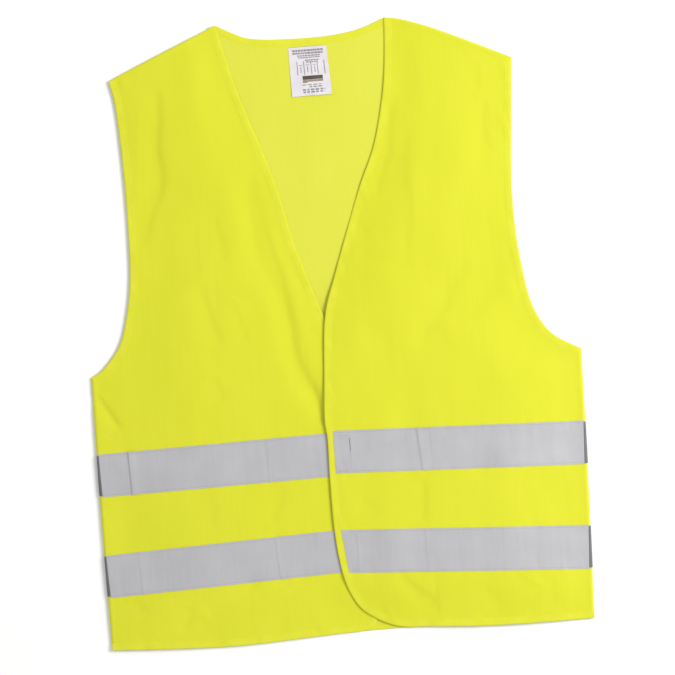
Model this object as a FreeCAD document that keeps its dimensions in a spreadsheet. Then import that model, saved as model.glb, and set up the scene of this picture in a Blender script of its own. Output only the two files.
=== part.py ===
import FreeCAD, Part
import math
import os
import Sketcher

os.makedirs("parts", exist_ok=True)

# High visibility vest lying flat on its back, fronts closed. Millimetres.
# +X is the wearer's left, +Y points to the neck, +Z is up off the table.
# Plan sizes are measured from the middle of the hem; every piece is then moved so that
# the origin is the centre of the underside.

SIZES = {
    # overall plan
    "half_width": 280.0,
    "length": 704.0,
    "underarm_y": 310.0,
    "shoulder_x": 231.0,
    "shoulder_y": 649.0,
    "neck_x": 97.0,
    "arm_x": 224.0,
    "arm_y": 422.0,
    "arm_upper_radius": 1133.0,
    "arm_lower_radius": 123.0,
    "neck_radius": 270.0,
    # front edge and neckline of each front
    "hinge_x": 88.0,
    "hinge_gap": 0.3,
    "front_top_y": 651.8,
    "flap_top_y": 648.2,
    "neckline_radius": 597.0,
    "line_upper_x": 50.0,
    "line_upper_y": 518.0,
    "left_line_x": 1.0,
    "left_line_y": 378.0,
    "left_vee_radius": 249.0,
    "left_vee_y": 296.0,
    "left_overlap": 13.0,
    "left_corner_radius": 57.0,
    "right_line_x": -19.0,
    "right_line_y": 321.0,
    "right_vee_radius": 196.0,
    "right_vee_y": 256.0,
    "right_overlap": 30.0,
    "right_corner_radius": 20.0,
    # layers
    "fabric": 0.6,
    "tape_thick": 0.4,
    "seam": 0.8,
    "back_z": 0.4,
    "right_z": 7.4,
    "left_z": 10.7,
    # edge binding, reflective tape, closure, label
    "binding_width": 8.0,
    "binding_thick": 0.4,
    "tape_width": 50.0,
    "tape_lower_y": 62.0,
    "tape_upper_y": 178.0,
    "patch_x": -8.0,
    "patch_width": 20.0,
    "patch_thick": 1.0,
    "patch_step": 0.4,
    "label_half": 23.0,
    "label_height": 56.0,
    "label_y": 620.0,
    "label_thick": 0.25,
    "label_z": 1.3,
    "thread": 0.3,
    "thread_inset": 2.0,
    "label_thread_gap": 0.5,
}

doc = FreeCAD.newDocument("vest")
sheet = doc.addObject("Spreadsheet::Sheet", "Sheet")
for row, (alias, value) in enumerate(SIZES.items(), start=1):
    sheet.set(f"A{row}", alias)
    sheet.set(f"B{row}", str(value))
    sheet.setAlias(f"B{row}", alias)
doc.recompute()

# The plan runs from the lip of the hem binding to the outside of the shoulder seam.
SHIFT_Y = "binding_thick - length - seam"


def amount(spec):
    """Value of a sum of cells and numbers, such as 'length - seam'."""
    total = 0.0
    sign = 1.0
    for word in spec.split():
        if word in "+-":
            sign = 1.0 if word == "+" else -1.0
            continue
        total += sign * (SIZES[word] if word in SIZES else float(word))
        sign = 1.0
    return total


def cells(spec):
    """The same sum as an expression on the sheet."""
    return " ".join("Sheet." + word if word in SIZES else word for word in spec.split())


def bind(item, name, spec, factor=1.0):
    item.setExpression(name, f"{factor} * ({cells(spec)})" if factor != 1.0 else cells(spec))


def settle(item, x="0.0", z="0.0", y="0.0"):
    """Bind an object's Placement: plan position from the hem, and height."""
    bind(item, "Placement.Base.x", x)
    item.setExpression("Placement.Base.y", f"{cells(y)} + ({cells(SHIFT_Y)}) / 2")
    bind(item, "Placement.Base.z", z)


def box(label, x, y, z, size_x, size_y, size_z):
    item = doc.addObject("Part::Box", label)
    bind(item, "Length", size_x)
    bind(item, "Width", size_y)
    bind(item, "Height", size_z)
    settle(item, x, z, y)
    return item


def arc_centre(first, second, radius, turn):
    """Centre of the arc from first to second; turn is +1 when it runs anticlockwise."""
    mid = (first + second) * 0.5
    chord = second - first
    reach = math.sqrt(radius ** 2 - (chord.Length / 2) ** 2)
    normal = FreeCAD.Vector(-chord.y, chord.x, 0).normalize()
    return mid + normal * reach * turn


def arc_between(first, second, radius, turn):
    centre = arc_centre(first, second, radius, turn)
    circle = Part.Circle(centre, FreeCAD.Vector(0, 0, 1), radius)
    ends = (first, second) if turn > 0 else (second, first)
    angles = [math.atan2(end.y - centre.y, end.x - centre.x) for end in ends]
    if angles[1] < angles[0]:
        angles[1] += 2 * math.pi
    return Part.ArcOfCircle(circle, angles[0], angles[1])


def points(path, side):
    return [FreeCAD.Vector(side * amount(step[0]), amount(step[1]), 0) for step in path]


def panel(label, path, side, height):
    """Flat panel: a padded outline. Each step of the path is (x, y) of a corner, and for an
    arc that leaves this corner also its radius cell and its turn; side -1 mirrors it."""
    body = doc.addObject("PartDesign::Body", label)
    plane = [item for item in body.Origin.OriginFeatures if item.Role == "XY_Plane"][0]
    sketch = body.newObject("Sketcher::SketchObject", label + "_outline")
    sketch.AttachmentSupport = [(plane, "")]
    sketch.MapMode = "FlatFace"
    corners = points(path, side)
    ends = []
    for index, step in enumerate(path):
        first = corners[index]
        second = corners[(index + 1) % len(path)]
        if len(step) == 2:
            sketch.addGeometry(Part.LineSegment(first, second))
            ends.append((1, 2))
            continue
        turn = step[3] * side
        sketch.addGeometry(arc_between(first, second, amount(step[2]), turn))
        ends.append((1, 2) if turn > 0 else (2, 1))
    for index, step in enumerate(path):
        after = (index + 1) % len(path)
        sketch.addConstraint(
            Sketcher.Constraint("Coincident", index, ends[index][1], after, ends[after][0]))
        if len(step) == 4:
            name = f"radius_{index}"
            constraint = Sketcher.Constraint("Radius", index, amount(step[2]))
            constraint.Name = name
            sketch.addConstraint(constraint)
            bind(sketch, "Constraints." + name, step[2])
        for kind, spec, factor in (("DistanceX", step[0], side), ("DistanceY", step[1], 1)):
            name = f"{kind}_{index}"
            value = factor * amount(spec)
            constraint = Sketcher.Constraint(kind, -1, 1, index, ends[index][0], value)
            constraint.Name = name
            sketch.addConstraint(constraint)
            bind(sketch, "Constraints." + name, spec, float(factor))
    pad = body.newObject("PartDesign::Pad", label + "_pad")
    pad.Profile = sketch
    bind(pad, "Length", height)
    return body


def edge_wire(path, side):
    """Open wire along the steps of a path, in plan."""
    corners = points(path, side)
    edges = []
    for index, step in enumerate(path[:-1]):
        first = corners[index]
        second = corners[index + 1]
        if len(step) == 2:
            edges.append(Part.LineSegment(first, second).toShape())
        else:
            edges.append(arc_between(first, second, amount(step[2]), step[3] * side).toShape())
    return Part.Wire(edges)


def beside(wire, distance):
    """The open wire moved sideways in plan; a single line has no plane of its own."""
    if len(wire.Edges) > 1 or not isinstance(wire.Edges[0].Curve, Part.Line):
        return wire.makeOffset2D(distance, 0, False, True, False)
    first, second = [vertex.Point for vertex in wire.OrderedVertexes]
    run = (second - first).normalize()
    shift = FreeCAD.Vector(run.y, -run.x, 0) * distance
    return Part.Wire([Part.LineSegment(first + shift, second + shift).toShape()])


def ribbon(wire, inside):
    """Face from a lip just outside the wire to one binding width inside the fabric."""
    for sign in (1, -1):
        inner = beside(wire, sign * amount("binding_width"))
        middle = inner.Edges[len(inner.Edges) // 2].CenterOfMass
        if inside.isInside(middle + FreeCAD.Vector(0, 0, amount("fabric") / 2), 0.01, True):
            break
    outer = beside(wire, -sign * amount("binding_thick"))
    outer_ends = [vertex.Point for vertex in outer.OrderedVertexes]
    inner_ends = [vertex.Point for vertex in inner.OrderedVertexes]
    if (outer_ends[0] - inner_ends[0]).Length > (outer_ends[0] - inner_ends[-1]).Length:
        inner_ends.reverse()
    caps = [Part.LineSegment(outer_ends[index], inner_ends[index]).toShape() for index in (0, -1)]
    edges = outer.Edges + inner.Edges + caps
    return Part.Face(Part.Wire(Part.__sortEdges__(edges)))


def beyond_shoulder(side):
    """Everything past the line of a shoulder."""
    reach = 2 * amount("length")
    corners = points([NECK_POINT, SHOULDER_TIP], side)
    corners += [corners[1] + FreeCAD.Vector(0, reach, 0), corners[0] + FreeCAD.Vector(0, reach, 0)]
    prism = Part.Face(Part.makePolygon(corners + corners[:1])).extrude(FreeCAD.Vector(0, 0, 2 * reach))
    prism.translate(FreeCAD.Vector(0, 0, -reach))
    return prism


def slab(low_x, high_x):
    """Everything between two values of x."""
    reach = 2 * amount("length")
    corner = FreeCAD.Vector(low_x, -reach, -reach)
    return Part.makeBox(high_x - low_x, 2 * reach, 2 * reach, corner)


def binding(label, path, side, base, plane_z, low_x="0.0 - half_width", high_x="half_width"):
    """Folded edge tape round an open stretch of a panel's edge, between two values of x. A band
    that follows the edge and is notched for the fabric fits neither a sketch nor a primitive,
    so it is set here."""
    flat = base.Shape.copy()
    flat.Placement = FreeCAD.Placement()
    face = ribbon(edge_wire(path, side), flat)
    thick = amount("binding_thick")
    band = face.extrude(FreeCAD.Vector(0, 0, amount("fabric") + 2 * thick))
    band.translate(FreeCAD.Vector(0, 0, -thick))
    band = band.cut(flat)
    limits = sorted(side * amount(spec) for spec in (low_x, high_x))
    band = band.common(slab(*limits)).cut(beyond_shoulder(side))
    item = doc.addObject("Part::Feature", label)
    item.Shape = max(band.Solids, key=lambda solid: solid.Volume)
    settle(item, "0.0", plane_z)
    return item


# Outlines, walked anticlockwise on the wearer's left.
ARMHOLE = [
    ("half_width", "underarm_y", "arm_lower_radius", -1),
    ("arm_x", "arm_y", "arm_upper_radius", -1),
    ("shoulder_x", "shoulder_y"),
]


def flap_edge(side_name):
    """Free edge of a front from the fold line down to the hem, and back to the fold line."""
    overlap = f"{side_name}_overlap"
    radius = f"{side_name}_corner_radius"
    return [
        ("hinge_x - hinge_gap", "flap_top_y", "neckline_radius", -1),
        ("line_upper_x", "line_upper_y"),
        (f"{side_name}_line_x", f"{side_name}_line_y", f"{side_name}_vee_radius", 1),
        (f"0.0 - {overlap}", f"{side_name}_vee_y"),
        (f"0.0 - {overlap}", radius, radius, 1),
        (f"{radius} - {overlap}", "0.0"),
        ("hinge_x - hinge_gap", "0.0"),
    ]


def mirrored(path):
    """The same stretch of outline on the other half, walked the other way."""
    turned = []
    for index in range(len(path) - 1, -1, -1):
        x, y = path[index][:2]
        step = ("0.0 - " + x.replace("-", "+"), y)
        if index and len(path[index - 1]) == 4:
            step += path[index - 1][2:]
        turned.append(step)
    return turned


SHOULDER_TIP = ARMHOLE[-1]
NECK_POINT = ("neck_x", "length")
BACK_NECK = [NECK_POINT + ("neck_radius", -1), ("0.0 - neck_x", "length")]
back_path = [("0.0 - half_width", "0.0"), ("half_width", "0.0")]
back_path += ARMHOLE + BACK_NECK + mirrored(ARMHOLE)
front_path = [("hinge_x + hinge_gap", "0.0"), ("half_width", "0.0")]
front_path += ARMHOLE + [NECK_POINT, ("hinge_x + hinge_gap", "front_top_y")]

SIDES = {"left": (1, "left_z"), "right": (-1, "right_z")}
nodes = {}


def keep_node(item):
    nodes[item.Label] = item
    return item


# Back panel and what is sewn to it.
back = keep_node(panel("back_panel", back_path, 1, "fabric"))
settle(back, "0.0", "back_z")
for side_name, (side, plane_z) in SIDES.items():
    front = keep_node(panel(f"{side_name}_front_panel", front_path, side, "fabric"))
    settle(front, "0.0", plane_z)
    flap = keep_node(panel(f"{side_name}_flap_panel", flap_edge(side_name), side, "fabric"))
    settle(flap, "0.0", plane_z)
doc.recompute()

keep_node(binding("back_neck_binding", BACK_NECK, 1, back, "back_z"))
hem = [("0.0 - half_width", "0.0"), ("half_width", "0.0")]
keep_node(binding("back_hem_binding", hem, 1, back, "back_z"))
for level in ("upper", "lower"):
    keep_node(box(f"back_{level}_tape", "0.0 - half_width", f"tape_{level}_y", "0.0",
                  "half_width + half_width", "tape_width", "tape_thick"))


def thread_rows(label, rows):
    """Straight rows of stitching as one piece; each row is a box()."""
    parts = [box(f"{label}_row_{number}", *row) for number, row in enumerate(rows, start=1)]
    if len(parts) == 1:
        parts[0].Label = label
        return parts[0]
    joined = doc.addObject("Part::MultiFuse", label)
    joined.Shapes = parts
    return joined


def tape_rows(x, size_x, z):
    rows = []
    for level in ("upper", "lower"):
        low = f"tape_{level}_y + thread_inset"
        high = f"tape_{level}_y + tape_width - thread_inset - thread"
        rows += [(x, y, z, size_x, "thread", "thread") for y in (low, high)]
    return rows


keep_node(thread_rows("back_tape_stitching", tape_rows(
    "0.0 - half_width", "half_width + half_width", "back_z + fabric")))
keep_node(thread_rows("label_stitching", [(
    "thread - label_half", "label_y + label_height + label_thread_gap", "back_z + fabric",
    "label_half + label_half - thread - thread", "thread", "thread")]))

for side_name, (side, plane_z) in SIDES.items():
    front = nodes[f"{side_name}_front_panel"]
    flap = nodes[f"{side_name}_flap_panel"]
    top_z = f"{plane_z} + fabric"

    # side and shoulder, turned from the back up to the front
    seam_x = "half_width" if side > 0 else "0.0 - half_width - seam"
    keep_node(box(f"{side_name}_side_seam", seam_x, "0.0", "0.0",
                  "seam", "underarm_y", top_z))
    shoulder = [NECK_POINT, SHOULDER_TIP, ("shoulder_x", "shoulder_y + seam"),
                ("neck_x", "length + seam")]
    seam = keep_node(panel(f"{side_name}_shoulder_seam", shoulder, side, top_z))
    settle(seam)

    # folded edge tape
    keep_node(binding(f"{side_name}_armhole_back_binding", ARMHOLE, side, back, "back_z"))
    keep_node(binding(f"{side_name}_armhole_front_binding", ARMHOLE, side, front, plane_z))
    neck = [NECK_POINT, ("hinge_x + hinge_gap", "front_top_y")]
    keep_node(binding(f"{side_name}_neck_binding", neck, side, front, plane_z))
    front_hem = [("hinge_x + hinge_gap", "0.0"), ("half_width", "0.0")]
    keep_node(binding(f"{side_name}_front_hem_binding", front_hem, side, front, plane_z))
    keep_node(binding(f"{side_name}_front_edge_binding", flap_edge(side_name), side, flap,
                      plane_z, high_x="hinge_x - hinge_gap"))

    # reflective tape on the front, turned down over the side seam, and on the flap
    for level in ("upper", "lower"):
        y = f"tape_{level}_y"
        reach = "half_width + seam + tape_thick"
        top_x = "hinge_x + hinge_gap" if side > 0 else "0.0 - " + reach.replace("+", "-")
        turn_x = "half_width + seam" if side > 0 else "0.0 - " + reach.replace("+", "-")
        name = f"{side_name}_front_{level}_tape"
        top = box(name + "_top", top_x, y, top_z, reach + " - hinge_x - hinge_gap",
                  "tape_width", "tape_thick")
        turned = box(name + "_turned", turn_x, y, "0.0", "tape_thick", "tape_width",
                     top_z + " + tape_thick")
        tape = doc.addObject("Part::Fuse", name)
        tape.Base = top
        tape.Tool = turned
        keep_node(tape)
        flap_x = "binding_width - left_overlap" if side > 0 else "hinge_gap - hinge_x"
        keep_node(box(f"{side_name}_flap_{level}_tape", flap_x, y, top_z,
                      f"hinge_x - hinge_gap + {side_name}_overlap - binding_width",
                      "tape_width", "tape_thick"))

    # stitching of the tape
    row_z = top_z + " + tape_thick"
    front_x = "hinge_x + hinge_gap" if side > 0 else "0.0 - half_width"
    keep_node(thread_rows(f"{side_name}_front_tape_stitching", tape_rows(
        front_x, "half_width - hinge_x - hinge_gap", row_z)))
    if side > 0:
        rows = tape_rows("binding_width - left_overlap",
                         "hinge_x - hinge_gap + left_overlap - binding_width", row_z)
    else:
        rows = tape_rows("hinge_gap - hinge_x", "hinge_x - hinge_gap - thread + patch_x", row_z)
    keep_node(thread_rows(f"{side_name}_flap_stitching", rows))

# Closure: hooks under the left flap, loops on top of the right one.
for level in ("upper", "lower"):
    y = f"tape_{level}_y"
    whole = box(f"{level}_hook_block", "patch_x", y, "left_z - patch_thick",
                "patch_width", "tape_width", "patch_thick")
    step = box(f"{level}_hook_step", "patch_x", y, "left_z - patch_step",
               "binding_width - left_overlap - patch_x", "tape_width", "patch_step")
    hook = doc.addObject("Part::Cut", f"{level}_hook_patch")
    hook.Base = whole
    hook.Tool = step
    keep_node(hook)
    keep_node(box(f"{level}_loop_patch", "patch_x", y, "right_z + fabric + tape_thick",
                  "patch_width", "tape_width", "patch_thick"))

keep_node(box("care_label", "0.0 - label_half", "label_y", "label_z",
              "label_half + label_half", "label_height", "label_thick"))

doc.recompute()
for item in doc.Objects:
    assert "Invalid" not in item.State and "Error" not in item.State, item.Label
for label, item in nodes.items():
    shape = item.Shape
    assert not shape.isNull() and shape.isValid() and shape.Volume > 0, label
    shape.exportStep(f"parts/{label}.step")
    box_size = shape.BoundBox
    print(f"{label:30s} {shape.Volume:10.1f} mm3  solids {len(shape.Solids)}  "
          f"x {box_size.XMin:7.1f} {box_size.XMax:7.1f}  y {box_size.YMin:7.1f} {box_size.YMax:7.1f}  "
          f"z {box_size.ZMin:5.2f} {box_size.ZMax:5.2f}")
print(len(nodes), "pieces")
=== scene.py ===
import math

import bmesh
import bpy
import numpy as np
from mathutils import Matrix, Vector
from mathutils.geometry import delaunay_2d_cdt


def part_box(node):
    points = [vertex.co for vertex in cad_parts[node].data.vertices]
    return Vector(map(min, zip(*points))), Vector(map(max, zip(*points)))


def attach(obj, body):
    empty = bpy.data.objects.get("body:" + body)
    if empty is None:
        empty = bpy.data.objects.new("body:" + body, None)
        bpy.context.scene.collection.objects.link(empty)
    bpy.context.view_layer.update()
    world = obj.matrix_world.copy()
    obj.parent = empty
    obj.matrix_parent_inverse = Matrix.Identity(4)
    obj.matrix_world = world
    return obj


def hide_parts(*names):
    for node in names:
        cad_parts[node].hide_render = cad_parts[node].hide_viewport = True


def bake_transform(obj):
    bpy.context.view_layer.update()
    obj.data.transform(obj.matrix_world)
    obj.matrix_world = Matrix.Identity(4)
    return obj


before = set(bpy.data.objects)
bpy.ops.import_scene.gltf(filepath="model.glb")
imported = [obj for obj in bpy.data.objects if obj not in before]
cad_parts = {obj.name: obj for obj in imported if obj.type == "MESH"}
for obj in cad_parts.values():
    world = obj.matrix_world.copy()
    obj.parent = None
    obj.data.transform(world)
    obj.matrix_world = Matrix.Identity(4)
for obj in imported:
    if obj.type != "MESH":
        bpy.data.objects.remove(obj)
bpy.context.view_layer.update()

# Lengths here are millimetres in the plan of the vest: x to the wearer's left, y up from the
# middle of the hem, z off the table. place() moves them to the row frame, in metres.
PLAN_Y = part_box("left_side_seam")[0].y * 1000.0
FABRIC = 0.5            # thickness of the knit
TAPE = 0.3              # thickness of a reflective band
LAY_GAP = 0.08          # air between layers that are sewn flat on each other
BAND_LIFT = FABRIC / 2 + LAY_GAP + TAPE / 2
BACK_Z = 1.15           # height of the back at its edges
SIDE_TURN = 3.0         # breadth of the turned cloth at a side, and at a shoulder
SHOULDER_TURN = 2.6
TURN_CLOTH = 0.35       # thickness of the turned cloth
SIDE_REACH = 278.0      # half breadth of the vest at the bands
TRIM_STEP = 2.4         # spacing of points along edge tape
EDGE_ROW = 6.4          # stitch row of edge tape, from the edge
EDGE_STITCH_Z = 0.4     # height of each kind of stitch over the middle of the cloth
BAND_STITCH_Z = 0.66
PATCH_STITCH_Z = 0.72
BARTACK_Z = 0.76
STITCH = 3.3            # from one stitch to the next
RNG = np.random.default_rng(11)


def place(points):
    points = np.asarray(points, float).reshape(-1, 3).copy()
    points[:, 1] += PLAN_Y
    return points / 1000.0


# ---------------------------------------------------------------- outlines

def curve(points, step=3.0):
    """Smooth open curve through the points, resampled evenly."""
    knots = np.array(points, float)
    if len(knots) == 2:
        fine = knots
    else:
        padded = np.vstack([2 * knots[0] - knots[1], knots, 2 * knots[-1] - knots[-2]])
        fine = []
        for a, b, c, d in zip(padded, padded[1:], padded[2:], padded[3:]):
            t = np.linspace(0, 1, 24, endpoint=False)[:, None]
            fine.append(0.5 * (2 * b + (c - a) * t + (2 * a - 5 * b + 4 * c - d) * t ** 2
                               + (3 * b - a - 3 * c + d) * t ** 3))
        fine = np.vstack(fine + [knots[-1:]])
    run = np.concatenate([[0], np.cumsum(np.linalg.norm(np.diff(fine, axis=0), axis=1))])
    count = max(2, int(round(run[-1] / step)) + 1)
    even = np.linspace(0, run[-1], count)
    return np.column_stack([np.interp(even, run, fine[:, axis]) for axis in (0, 1)])


def joined(*stretches):
    """Stretches end to end, without the doubled points."""
    rows = [stretches[0]] + [stretch[1:] for stretch in stretches[1:]]
    return np.vstack(rows)


NECK = {"left": (90.0, 702.0), "right": (-104.5, 707.5)}
TIP = {"left": (231.7, 645.5), "right": (-231.0, 653.0)}
UNDERARM = {"left": (286.0, 306.0), "right": (-276.6, 315.0)}
CORNER = {"left": (277.5, -3.5), "right": (-276.5, 1.6)}
ARMHOLE = {
    "left": [UNDERARM["left"], (260, 321), (245, 337), (232, 366), (225, 408), (221, 452),
             (221, 505), (226, 574), TIP["left"]],
    "right": [UNDERARM["right"], (-262, 324), (-243, 347), (-233, 374), (-224, 422),
              (-221.6, 484), (-222, 553), (-225.5, 623), TIP["right"]],
}
SHOULDER = {
    "left": [TIP["left"], (153, 682), (112, 697.5), NECK["left"]],
    "right": [TIP["right"], (-190, 671), NECK["right"]],
}
SIDE = {
    "left": [CORNER["left"], (283, 170), UNDERARM["left"]],
    "right": [CORNER["right"], (-277.4, 160), UNDERARM["right"]],
}
BACK_NECK = [NECK["left"], (57, 690.6), (15, 685.7), (-41, 686.6), (-68, 690), (-82, 695.5),
             NECK["right"]]
BACK_HEM = [CORNER["right"], (-142, -4), (-32, 0.2), (2, 1.4), (37, 2.1), (80, 1.6), (170, -3),
            CORNER["left"]]
FRONT_EDGE = {
    "left": [NECK["left"], (86, 648), (80, 608), (67, 557), (48, 513), (33, 473.5), (11, 412),
             (-4, 364.5), (-10.5, 292), (-13.4, 246), (-11.8, 223), (-12.6, 179), (-11.9, 120),
             (-6.8, 73), (2.2, 44), (17.5, 23), (50, 5.5), (90, 1.5), (170, -3), CORNER["left"]],
    "right": [NECK["right"], (-95, 665), (-82.5, 620.5), (-63, 563), (-47, 510), (-35.5, 458),
              (-24.5, 421), (-13, 386), (-1, 352), (13, 313), (25, 275), (29.5, 240), (30, 190),
              (30, 75), (30, 24), (28, 12), (22, 5), (12, 2), (2, 1.4), (-32, 0.2), (-142, -4),
              CORNER["right"]],
}
SIGN = {"left": 1.0, "right": -1.0}


def nearest(line, x, y):
    """Distance to a polyline, and how far along it the nearest point is, from 0 to 1."""
    line = np.asarray(line, float)
    start = line[:-1]
    step = line[1:] - start
    length = np.linalg.norm(step, axis=1)
    run = np.concatenate([[0], np.cumsum(length)])
    best = np.full(x.shape, 1e9)
    where = np.zeros(x.shape)
    for index in range(len(start)):
        px = x - start[index, 0]
        py = y - start[index, 1]
        t = np.clip((px * step[index, 0] + py * step[index, 1]) / length[index] ** 2, 0, 1)
        gap = np.hypot(px - t * step[index, 0], py - t * step[index, 1])
        closer = gap < best
        best = np.where(closer, gap, best)
        where = np.where(closer, (run[index] + t * length[index]) / run[-1], where)
    return best, where


def ease(value):
    value = np.clip(value, 0, 1)
    return value * value * (3 - 2 * value)


class Noise:
    """Smooth value noise with cells of the given size, from -1 to 1."""

    def __init__(self, cell_x, cell_y, seed):
        self.cell = (cell_x, cell_y)
        self.grid = np.random.default_rng(seed).uniform(-1, 1, (260, 260))

    def __call__(self, x, y):
        u = x / self.cell[0] + 100.0
        v = y / self.cell[1] + 40.0
        column = np.floor(u).astype(int) % 259
        line = np.floor(v).astype(int) % 259
        fu = ease(u - np.floor(u))
        fv = ease(v - np.floor(v))
        grid = self.grid
        low = grid[line, column] * (1 - fu) + grid[line, column + 1] * fu
        high = grid[line + 1, column] * (1 - fu) + grid[line + 1, column + 1] * fu
        return low * (1 - fv) + high * fv


BROAD = Noise(78, 120, 3)
MIDDLE = Noise(27, 48, 5)
SMALL = Noise(9, 22, 7)
RIPPLE = Noise(6.5, 60, 9)
BACK_NOISE = Noise(90, 90, 21)

# Folds and creases: side, line, height at the line, half width. Negative is a valley. The
# flank that faces the wearer's right is the steeper one.
FOLDS = [
    ("right", [(-79, 542), (-76, 505), (-72, 470), (-64, 441), (-57, 417), (-51, 388),
     (-45, 353), (-43, 327), (-33, 296), (-19, 272), (-15, 249)], -1.88, 9.0),
    ("right", [(-27, 288), (-19, 265), (-14, 240)], -1.35, 6.0),
    ("right", [(-177, 649), (-179, 605), (-183, 571),
     (-181, 534), (-195, 502), (-209, 461)], -1.38, 8.0),
    ("right", [(-146, 415), (-138, 381), (-133, 359), (-125, 339)], -0.75, 7.0),
    ("right", [(-112, 392), (-102, 363), (-95, 339)], -0.45, 5.0),
    ("right", [(-124, 491), (-117, 456), (-115, 433)], -0.45, 6.0),
    ("right", [(-147, 485), (-147, 447), (-147, 420)], -0.38, 6.0),
    ("right", [(-142, 405), (-113, 399), (-86, 392)], -0.3, 2.5),
    ("right", [(-141, 305), (-133, 293), (-127, 276)], -0.52, 7.0),
    ("right", [(-274, 297), (-261, 275), (-247, 253)], -1.2, 4.0),
    ("right", [(-70, 175), (-73, 153), (-85, 134)], -0.52, 6.0),
    ("right", [(-145, 161), (-153, 133)], -0.45, 6.0),
    ("right", [(-100, 66), (-126, 56), (-168, 35)], -0.83, 8.0),
    ("right", [(-181, 43), (-194, 16)], -0.52, 5.0),
    ("right", [(-42, 73), (-69, 50)], -0.45, 7.0),
    ("right", [(-251, 60), (-231, 37)], -0.45, 6.0),
    ("right", [(-105, 705), (-100, 679), (-85, 646)], -0.75, 4.0),
    ("left", [(95, 616), (86, 584), (82, 550), (73, 526), (64, 496)], -0.75, 7.0),
    ("left", [(104, 577), (98, 520), (101, 491), (97, 455), (92, 417)], -0.52, 7.0),
    ("left", [(36, 434), (69, 422), (102, 415)], -0.45, 9.0),
    ("left", [(34, 483), (52, 451)], -0.38, 7.0),
    ("left", [(167, 419), (144, 391), (129, 362), (110, 341), (97, 321)], -0.75, 9.0),
    ("left", [(196, 601), (193, 562), (201, 535)], -0.6, 6.0),
    ("left", [(190, 643), (189, 609)], -0.38, 5.0),
    ("left", [(29, 347), (63, 335), (94, 342)], -0.45, 14.0),
    ("left", [(92, 172), (93, 146), (89, 121)], -0.52, 5.0),
    ("left", [(18, 157), (41, 131)], -0.45, 7.0),
    ("left", [(57, 66), (74, 46), (98, 26)], -0.9, 7.0),
    ("left", [(100, 63), (98, 12)], -0.45, 4.0),
    ("left", [(187, 54), (220, 30)], -0.6, 7.0),
    ("left", [(231, 48), (235, 11)], -0.45, 5.0),
    ("left", [(154, 42), (173, 20)], -0.38, 6.0),
    ("right", [(-62, 470), (-40, 399), (-28, 341), (-12, 280)], 0.45, 9.0),
    ("left", [(130, 330), (180, 352), (215, 392)], 1.05, 16.0),
]
STEEP_FLANK = 0.7     # share of a fold's half width on each flank
GENTLE_FLANK = 1.7
FOLD_LINES = [(side, curve(line, 6.0), lift, wide) for side, line, lift, wide in FOLDS]

# Height of a front's free edge, by y: flat on the back at the neck, stacked at the closure.
EDGE_Z = {
    "left": ([0, 35, 66, 250, 300, 364, 430, 690], [4.4, 6.2, 9.0, 9.9, 8.4, 4.8, 2.4, 2.3]),
    "right": ([0, 60, 250, 300, 360, 430, 690], [2.6, 5.8, 7.0, 5.6, 2.3, 2.0, 2.2]),
}
# Height of a front at its other borders.
SEWN_Z = 4.2
HEM_Z = 4.2
ARMHOLE_Z = 3.2
# Height of a front away from its borders, at the waist and at the chest, and how far from
# each border it takes to get there.
INNER_Z = {"left": (10.3, 6.6), "right": (7.0, 5.4)}
REACH = {"sewn": 105.0, "armhole": 85.0, "edge": 64.0, "hem": 62.0}
# Size of the ripples beside each stitched border.
PUCKER = {"edge": 0.26, "armhole": 0.26, "hem": 0.2, "sewn": 0.16}
COARSE = {
    side: {
        "sewn": [curve(SIDE[side], 60), curve(SHOULDER[side], 40)],
        "armhole": [curve(ARMHOLE[side], 14)],
        "edge": [curve(FRONT_EDGE[side][:-3], 14)],
        "hem": [curve(BACK_HEM, 40)],
    } for side in SIGN
}
BAND_Y = {
    # lower and upper edge of each reflective band, at the front edge and at the side
    ("left", "upper"): ((184.5, 233.5), (173.5, 223.5)),
    ("left", "lower"): ((70.0, 119.5), (53.0, 103.5)),
    ("right", "upper"): ((181.5, 231.5), (177.5, 226.8)),
    ("right", "lower"): ((71.0, 120.0), (61.5, 110.5)),
    ("back", "upper"): ((179.0, 229.0), (175.5, 225.0)),
    ("back", "lower"): ((63.0, 113.0), (57.0, 107.0)),
}
CLEAR_CLOTH = 0.85    # least distance of a front from the back, and more over edge tape
CLEAR_TRIM = 0.35


def band_edges(side, level, x):
    """Lower and upper y of a band at x."""
    inner, outer = BAND_Y[side, level]
    t = np.clip(np.abs(x) / SIDE_REACH, 0, 1)
    return [inner[k] + (outer[k] - inner[k]) * t for k in (0, 1)]


def back_height(x, y):
    x = np.asarray(x, float)
    y = np.asarray(y, float)
    rise = 0.35 * BACK_NOISE(x, y) + 0.12 * MIDDLE(x + 300, y)
    middle = ease((250 - np.abs(x)) / 40) * ease((y + 5) / 25) * ease((712 - y) / 30)
    ridge = 0.3 * np.exp(-((x + 12 - 0.1 * (y - 500)) / 16) ** 2) * ease((y - 400) / 120)
    flat = np.exp(-(x / 34) ** 4 - ((y - 650) / 46) ** 4)
    return BACK_Z + middle * (0.35 + rise + ridge) * (1 - flat)


def border_height(side, kind, x, y):
    """Height of a front along one of its borders."""
    if kind == "edge":
        return np.interp(y, *EDGE_Z[side])
    if kind == "hem" and side == "left":
        return HEM_Z + 0.6 * ease((120 - x) / 70)
    if kind == "hem":
        return HEM_Z - 1.7 * ease((x + 60) / 70)
    return {"sewn": SEWN_Z, "armhole": ARMHOLE_Z}[kind]


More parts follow.
